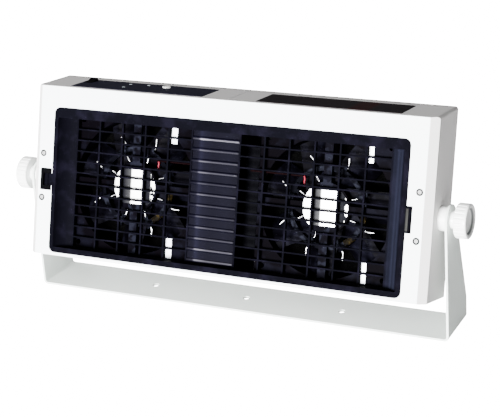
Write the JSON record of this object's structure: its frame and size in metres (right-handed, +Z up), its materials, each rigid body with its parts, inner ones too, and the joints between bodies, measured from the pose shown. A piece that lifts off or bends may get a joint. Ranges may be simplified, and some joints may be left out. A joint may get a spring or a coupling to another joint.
{
  "type": "ionizing blower",
  "caption": "Benchtop air ionizer: twin axial fans behind a hinged grille, in a housing that tilts on a bent sheet stand.",
  "frame": {"origin": "underside of the stand at the middle base hole", "axes": "+X to the right seen from the front, -Y to the front, +Z up"},
  "size_m": [0.4084, 0.0915, 0.1838],
  "materials": {
    "stand_paint": "satin powder coat",
    "case_plastic": "fine moulded grain",
    "panel_plastic": "fine moulded grain",
    "guard_plastic": "moulded",
    "filter_foam": "open foam",
    "overlay_black": "printed film, satin",
    "overlay_brown": "printed film, satin",
    "black_plastic": "moulded",
    "white_plastic": "moulded",
    "knob_plastic": "moulded",
    "light_lens": "clear lens",
    "board_green": "solder mask",
    "grille_plastic": "smooth moulded",
    "louvre_plastic": "polished moulded",
    "fan_plastic": "glass-filled, moulded",
    "rotor_plastic": "glass-filled, moulded",
    "steel": "turned",
    "screw_steel": "zinc plated",
    "needle_steel": "ground",
    "clip_steel": "rolled strip",
    "winding": "enamelled wire",
    "label_silver": "blank foil",
    "ring_plastic": "moulded",
    "module_resin": "potted",
    "lead_red": "silicone sleeve",
    "insert_brass": "knurled"
  },
  "bodies": {
    "stand": {"stand_bracket": "stand_paint"},
    "housing": {"left_case_half": "case_plastic", "right_case_half": "case_plastic", "front_panel": "panel_plastic", "rear_cover": "case_plastic", "left_intake_guard": "guard_plastic", "right_intake_guard": "guard_plastic", "left_filter": "filter_foam", "right_filter": "filter_foam", "control_panel": "overlay_black", "name_plate": "overlay_brown", "rocker_housing": "black_plastic", "button_switch": "black_plastic", "indicator_lights": "light_lens", "control_board": "board_green", "hinge_yoke": "black_plastic", "hinge_pin": "steel", "left_fan_frame": "fan_plastic", "right_fan_frame": "fan_plastic", "left_bearings": "steel", "right_bearings": "steel", "left_stator": "winding", "right_stator": "winding", "left_hub_label": "label_silver", "right_hub_label": "label_silver", "left_emitter_ring": "ring_plastic", "right_emitter_ring": "ring_plastic", "left_needles": "needle_steel", "right_needles": "needle_steel", "fan_clips": "clip_steel", "high_voltage_module": "module_resin", "left_lead": "lead_red", "right_lead": "lead_red", "power_inlet": "black_plastic", "left_spacer": "white_plastic", "right_spacer": "white_plastic", "left_insert": "insert_brass", "right_insert": "insert_brass", "front_screws": "screw_steel", "rear_screws": "screw_steel", "fan_screws": "screw_steel"},
    "grille": {"grille": "grille_plastic", "centre_louvre": "louvre_plastic", "grille_catch": "grille_plastic"},
    "left_fan": {"left_rotor": "rotor_plastic", "left_shaft": "steel"},
    "right_fan": {"right_rotor": "rotor_plastic", "right_shaft": "steel"},
    "left_knob": {"left_knob": "knob_plastic", "left_stud": "steel"},
    "right_knob": {"right_knob": "knob_plastic", "right_stud": "steel"},
    "rocker": {"power_rocker": "black_plastic"},
    "button": {"push_button": "white_plastic"}
  },
  "joints": [
    {"name": "housing_tilt", "type": "hinge", "parent": "stand", "child": "housing", "pos_m": [0, -0.012, 0.101], "axis": [-1, 0, 0], "range_deg": [-55, 75]},
    {"name": "grille_hinge", "type": "hinge", "parent": "housing", "child": "grille", "pos_m": [-0.1652, -0.0353, 0.10686], "axis": [0, -0.284, -0.9588], "range_deg": [0, 95]},
    {"name": "left_fan_spin", "type": "hinge", "parent": "housing", "child": "left_fan", "pos_m": [-0.087, -0.01228, 0.10004], "axis": [0, -0.9588, 0.284], "continuous": true},
    {"name": "right_fan_spin", "type": "hinge", "parent": "housing", "child": "right_fan", "pos_m": [0.087, -0.01228, 0.10004], "axis": [0, -0.9588, 0.284], "continuous": true},
    {"name": "left_knob_turn", "type": "hinge", "parent": "housing", "child": "left_knob", "pos_m": [-0.19, -0.012, 0.101], "axis": [-1, 0, 0], "range_deg": [0, 360]},
    {"name": "right_knob_turn", "type": "hinge", "parent": "housing", "child": "right_knob", "pos_m": [0.19, -0.012, 0.101], "axis": [1, 0, 0], "range_deg": [0, 360]},
    {"name": "rocker_tip", "type": "hinge", "parent": "housing", "child": "rocker", "pos_m": [-0.143, 0.01568, 0.17581], "axis": [-1, 0, 0], "range_deg": [0, 16]},
    {"name": "button_press", "type": "slide", "parent": "housing", "child": "button", "axis": [0, -0.129, -0.9916], "range_m": [0, 0.0008], "stiffness_N_per_m": 1000, "springref_m": -0.0003}
  ]
}
